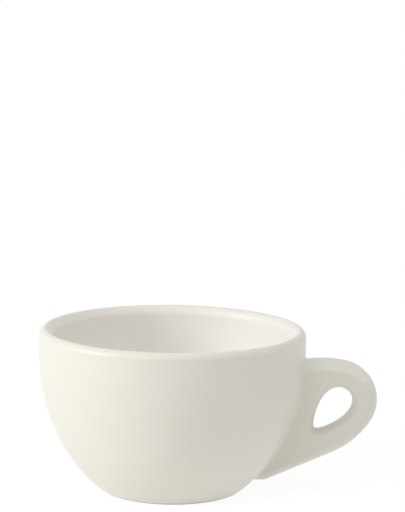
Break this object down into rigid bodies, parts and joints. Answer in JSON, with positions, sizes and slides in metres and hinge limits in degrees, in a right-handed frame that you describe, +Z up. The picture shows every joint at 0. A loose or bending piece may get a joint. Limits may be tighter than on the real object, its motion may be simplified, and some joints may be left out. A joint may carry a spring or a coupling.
{
  "type": "cappuccino cup",
  "caption": "Low, thick-walled cappuccino cup: an ivory-glazed round-bellied bowl on a recessed foot, with an ear handle and an egg-shaped finger hole.",
  "frame": {"origin": "on the table under the middle of the cup's length and width", "axes": "+X from the bowl to the handle, +Z up; the cup is symmetric about the XZ plane"},
  "size_m": [0.1186, 0.093, 0.0565],
  "materials": {
    "bowl_glaze": "satin ivory glaze, bare clay on the foot's face",
    "handle_glaze": "satin ivory glaze",
    "slip_glaze": "satin ivory glaze over the wiped joint"
  },
  "bodies": {
    "root": {"cup_body": "bowl_glaze", "handle": "handle_glaze", "luting_slip": "slip_glaze"}
  },
  "joints": []
}
